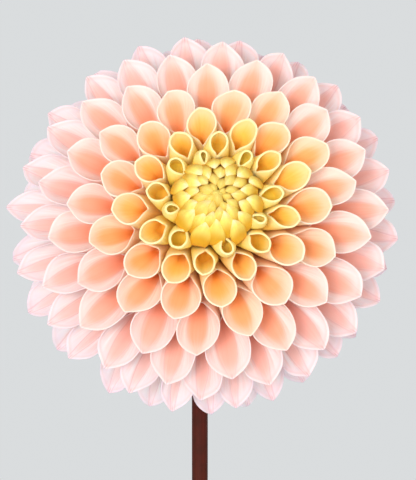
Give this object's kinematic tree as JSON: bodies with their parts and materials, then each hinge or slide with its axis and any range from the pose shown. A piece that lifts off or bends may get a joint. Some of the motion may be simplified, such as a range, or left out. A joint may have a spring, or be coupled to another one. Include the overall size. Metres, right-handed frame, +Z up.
{
  "type": "dahlia in vase",
  "caption": "Ball dahlia cut on a bare leafless stem, standing in a plain narrow-necked bottle vase; pale pink cupped petals open from a yellow bud heart.",
  "frame": {"origin": "middle of the vase's flat base, on the surface it stands on", "axes": "+Z up along the vase; the bloom faces -Y; +X to the right of someone who looks at the bloom's face"},
  "size_m": [0.1099, 0.1392, 0.3552],
  "materials": {
    "glazed_vase": "plain off-white glaze, glossy",
    "stem_red": "smooth dark red-brown plant stem, satin",
    "bract_green": "fleshy green plant tissue, satin",
    "bud_yellow": "soft matt petal, lemon yellow",
    "petal_gold": "soft matt petal, golden throat and cream lip",
    "petal_apricot": "soft matt petal, apricot throat and cream lip",
    "petal_salmon": "soft matt petal, salmon throat and pale pink lip",
    "petal_blush": "soft matt petal, pale pink fading to near white"
  },
  "bodies": {
    "root": {"vase": "glazed_vase", "stem": "stem_red", "receptacle": "bract_green", "inner_bracts": "bract_green", "outer_bract_1": "bract_green", "outer_bract_2": "bract_green", "outer_bract_3": "bract_green", "outer_bract_4": "bract_green", "outer_bract_5": "bract_green", "outer_bract_6": "bract_green", "bud_heart": "bud_yellow", "floret_ring_1": "petal_gold", "floret_ring_2": "petal_apricot", "floret_ring_3": "petal_salmon", "floret_ring_4": "petal_salmon", "back_petal_ring": "petal_blush", "petal_01": "petal_blush", "petal_02": "petal_blush", "petal_03": "petal_blush", "petal_04": "petal_blush", "petal_05": "petal_blush", "petal_06": "petal_blush", "petal_07": "petal_blush", "petal_08": "petal_blush", "petal_09": "petal_blush", "petal_10": "petal_blush", "petal_11": "petal_blush", "petal_12": "petal_blush", "petal_13": "petal_blush", "petal_14": "petal_blush", "petal_15": "petal_blush", "petal_16": "petal_blush", "petal_17": "petal_blush", "petal_18": "petal_blush", "petal_19": "petal_blush", "petal_20": "petal_blush", "petal_21": "petal_blush", "petal_22": "petal_blush", "petal_23": "petal_blush", "petal_24": "petal_blush", "petal_25": "petal_blush", "petal_26": "petal_blush", "petal_27": "petal_blush", "petal_28": "petal_blush", "petal_29": "petal_blush", "petal_30": "petal_blush", "petal_31": "petal_blush", "petal_32": "petal_blush", "petal_33": "petal_blush", "petal_34": "petal_blush", "petal_35": "petal_blush", "petal_36": "petal_blush", "petal_37": "petal_blush", "petal_38": "petal_blush", "petal_39": "petal_blush", "petal_40": "petal_blush", "petal_41": "petal_blush"}
  },
  "joints": []
}
